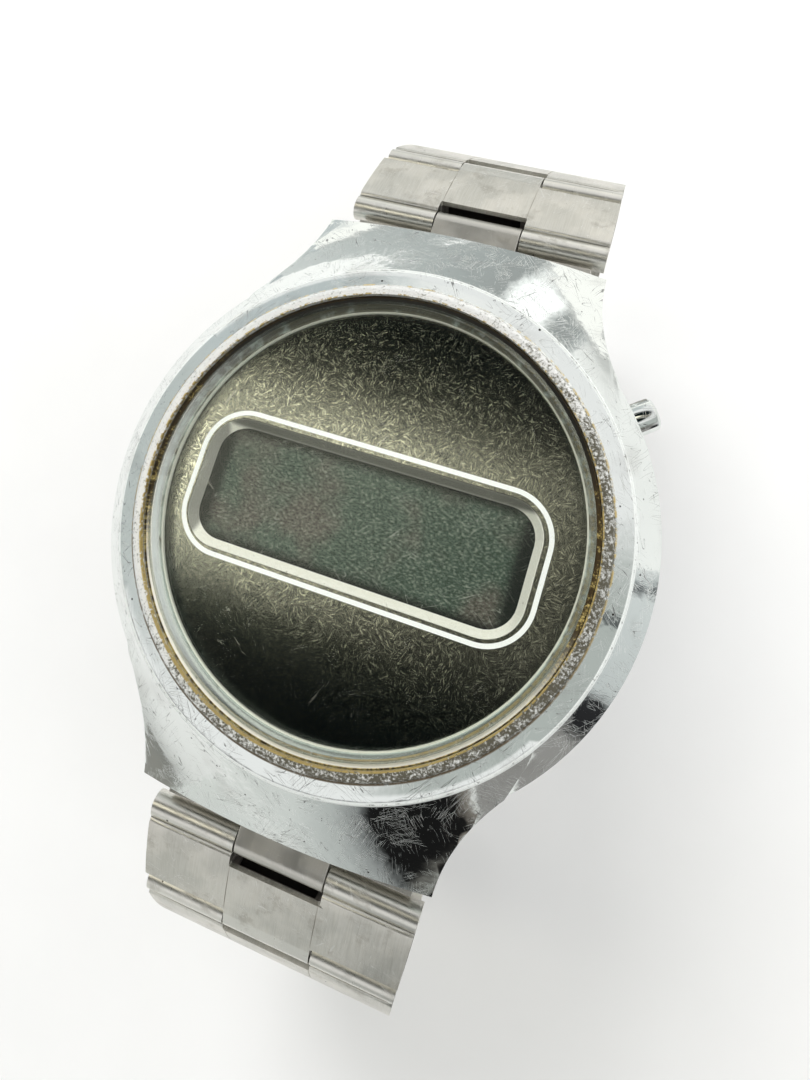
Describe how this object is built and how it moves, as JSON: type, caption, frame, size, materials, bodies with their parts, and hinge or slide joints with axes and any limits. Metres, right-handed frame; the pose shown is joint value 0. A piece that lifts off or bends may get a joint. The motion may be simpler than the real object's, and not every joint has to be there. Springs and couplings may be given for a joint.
{
  "type": "wristwatch",
  "caption": "Round digital quartz wristwatch with hooded lugs, a wide display window, a side pusher and a tapered bracelet of folded links with a folding clasp.",
  "frame": {"origin": "middle of the flat outer face of the case back", "axes": "+X to 3 o'clock, +Y to 12 o'clock, +Z out of the dial along the case axis"},
  "size_m": [0.038, 0.0718, 0.0454],
  "materials": {
    "plated_brass": "bright chrome plate over brass, scratched, worn and pitted at the lip",
    "link_steel": "folded stainless sheet, finely brushed across, scuffed",
    "clasp_steel": "stamped stainless sheet, brushed along the clasp",
    "back_steel": "turned stainless steel, satin",
    "pin_steel": "drawn stainless pins and spring bars",
    "spring_steel": "bright spring wire",
    "contact_bronze": "stamped spring bronze",
    "seal_rubber": "soft black rubber",
    "gasket_nylon": "aged amber nylon ring",
    "crystal_glass": "clear mineral glass with a bevelled edge",
    "dial_metal": "dark olive brushed metal with a printed white outline",
    "frame_metal": "satin champagne stamping with sloped inner sides",
    "display_glass": "dark grey-green liquid crystal glass under a polariser",
    "reflector_foil": "thin silvered reflector sheet",
    "lamp_glass": "clear bulb of a grain lamp",
    "connector_rubber": "layered conducting rubber strips",
    "board_laminate": "green circuit board laminate",
    "chip_resin": "black resin drop over the chip",
    "can_metal": "drawn metal can of the resonator",
    "trimmer_ceramic": "ceramic trimmer with a slotted rotor",
    "module_plastic": "moulded off-white plastic",
    "battery_steel": "plated steel cell can"
  },
  "bodies": {
    "case": {"case_middle": "plated_brass", "case_back": "back_steel", "back_gasket": "seal_rubber", "crystal": "crystal_glass", "crystal_gasket": "gasket_nylon", "dial": "dial_metal", "window_frame": "frame_metal", "front_glass": "display_glass", "rear_glass": "display_glass", "reflector": "reflector_foil", "lamp": "lamp_glass", "zebra_strips": "connector_rubber", "circuit_board": "board_laminate", "driver_chip": "chip_resin", "quartz_can": "can_metal", "trimmer": "trimmer_ceramic", "module_frame": "module_plastic", "battery": "battery_steel", "battery_clip": "contact_bronze", "contact_spring": "contact_bronze", "pusher_tube": "pin_steel", "pusher_spring": "spring_steel", "spring_bars": "pin_steel"},
    "pusher": {"pusher": "plated_brass", "pusher_seal": "seal_rubber", "pusher_clip": "contact_bronze"},
    "upper_end": {"upper_end_link": "link_steel", "upper_pin_1": "pin_steel"},
    "upper_link_1": {"upper_link_1": "link_steel", "upper_pin_2": "pin_steel"},
    "upper_link_2": {"upper_link_2": "link_steel", "upper_pin_3": "pin_steel"},
    "upper_link_3": {"upper_link_3": "link_steel", "upper_pin_4": "pin_steel"},
    "upper_link_4": {"upper_link_4": "link_steel", "upper_pin_5": "pin_steel"},
    "upper_link_5": {"upper_link_5": "link_steel", "upper_pin_6": "pin_steel"},
    "upper_link_6": {"upper_link_6": "link_steel", "cover_pin": "pin_steel"},
    "lower_end": {"lower_end_link": "link_steel", "lower_pin_1": "pin_steel"},
    "lower_link_1": {"lower_link_1": "link_steel", "lower_pin_2": "pin_steel"},
    "lower_link_2": {"lower_link_2": "link_steel", "lower_pin_3": "pin_steel"},
    "lower_link_3": {"lower_link_3": "link_steel", "lower_pin_4": "pin_steel"},
    "lower_link_4": {"lower_link_4": "link_steel", "lower_pin_5": "pin_steel"},
    "lower_link_5": {"lower_link_5": "link_steel", "lower_pin_6": "pin_steel"},
    "lower_link_6": {"lower_link_6": "link_steel"},
    "cover": {"clasp_cover": "clasp_steel", "fold_pin_cover": "pin_steel"},
    "middle_blade": {"middle_blade": "clasp_steel", "fold_pin_blades": "pin_steel"},
    "inner_blade": {"inner_blade": "clasp_steel", "last_pin": "pin_steel"}
  },
  "joints": [
    {"name": "pusher_press", "type": "slide", "parent": "case", "child": "pusher", "axis": [-0.788, -0.6157, 0], "range_m": [0, 0.0008], "stiffness_N_per_m": 600, "springref_m": -0.001, "deforming": ["pusher_spring"]},
    {"name": "upper_end_swing", "type": "hinge", "parent": "case", "child": "upper_end", "pos_m": [0, 0.0196, 0.0019], "axis": [1, 0, 0], "range_deg": [0, 10]},
    {"name": "upper_hinge_1", "type": "hinge", "parent": "upper_end", "child": "upper_link_1", "pos_m": [0, 0.0243, 0.0011], "axis": [1, 0, 0], "range_deg": [0, 28]},
    {"name": "upper_hinge_2", "type": "hinge", "parent": "upper_link_1", "child": "upper_link_2", "pos_m": [0, 0.03048, -0.00219], "axis": [1, 0, 0], "range_deg": [0, 30]},
    {"name": "upper_hinge_3", "type": "hinge", "parent": "upper_link_2", "child": "upper_link_3", "pos_m": [0, 0.03419, -0.00812], "axis": [1, 0, 0], "range_deg": [0, 27]},
    {"name": "upper_hinge_4", "type": "hinge", "parent": "upper_link_3", "child": "upper_link_4", "pos_m": [0, 0.0348, -0.0151], "axis": [1, 0, 0], "range_deg": [0, 25]},
    {"name": "upper_hinge_5", "type": "hinge", "parent": "upper_link_4", "child": "upper_link_5", "pos_m": [0, 0.03241, -0.02167], "axis": [1, 0, 0], "range_deg": [0, 24]},
    {"name": "upper_hinge_6", "type": "hinge", "parent": "upper_link_5", "child": "upper_link_6", "pos_m": [0, 0.02754, -0.02671], "axis": [1, 0, 0], "range_deg": [0, 22]},
    {"name": "lower_end_swing", "type": "hinge", "parent": "case", "child": "lower_end", "pos_m": [0, -0.0196, 0.0019], "axis": [-1, 0, 0], "range_deg": [0, 10]},
    {"name": "lower_hinge_1", "type": "hinge", "parent": "lower_end", "child": "lower_link_1", "pos_m": [0, -0.0243, 0.0011], "axis": [-1, 0, 0], "range_deg": [0, 28]},
    {"name": "lower_hinge_2", "type": "hinge", "parent": "lower_link_1", "child": "lower_link_2", "pos_m": [0, -0.03048, -0.00219], "axis": [-1, 0, 0], "range_deg": [0, 30]},
    {"name": "lower_hinge_3", "type": "hinge", "parent": "lower_link_2", "child": "lower_link_3", "pos_m": [0, -0.03419, -0.00812], "axis": [-1, 0, 0], "range_deg": [0, 27]},
    {"name": "lower_hinge_4", "type": "hinge", "parent": "lower_link_3", "child": "lower_link_4", "pos_m": [0, -0.0348, -0.0151], "axis": [-1, 0, 0], "range_deg": [0, 25]},
    {"name": "lower_hinge_5", "type": "hinge", "parent": "lower_link_4", "child": "lower_link_5", "pos_m": [0, -0.03241, -0.02167], "axis": [-1, 0, 0], "range_deg": [0, 24]},
    {"name": "lower_hinge_6", "type": "hinge", "parent": "lower_link_5", "child": "lower_link_6", "pos_m": [0, -0.02754, -0.02671], "axis": [-1, 0, 0], "range_deg": [0, 22]},
    {"name": "cover_hinge", "type": "hinge", "parent": "upper_link_6", "child": "cover", "pos_m": [0, 0.02115, -0.02956], "axis": [1, 0, 0], "range_deg": [0, 35]},
    {"name": "clasp_fold", "type": "hinge", "parent": "cover", "child": "middle_blade", "pos_m": [0, -0.01791, -0.03125], "axis": [1, 0, 0], "range_deg": [0, 38]},
    {"name": "blade_fold", "type": "hinge", "parent": "middle_blade", "child": "inner_blade", "pos_m": [0, 0.01775, -0.03072], "axis": [1, 0, 0], "range_deg": [-38, 0]}
  ],
  "couplings": [
    {"joint": "blade_fold", "follows": "clasp_fold", "ratio": -1}
  ]
}
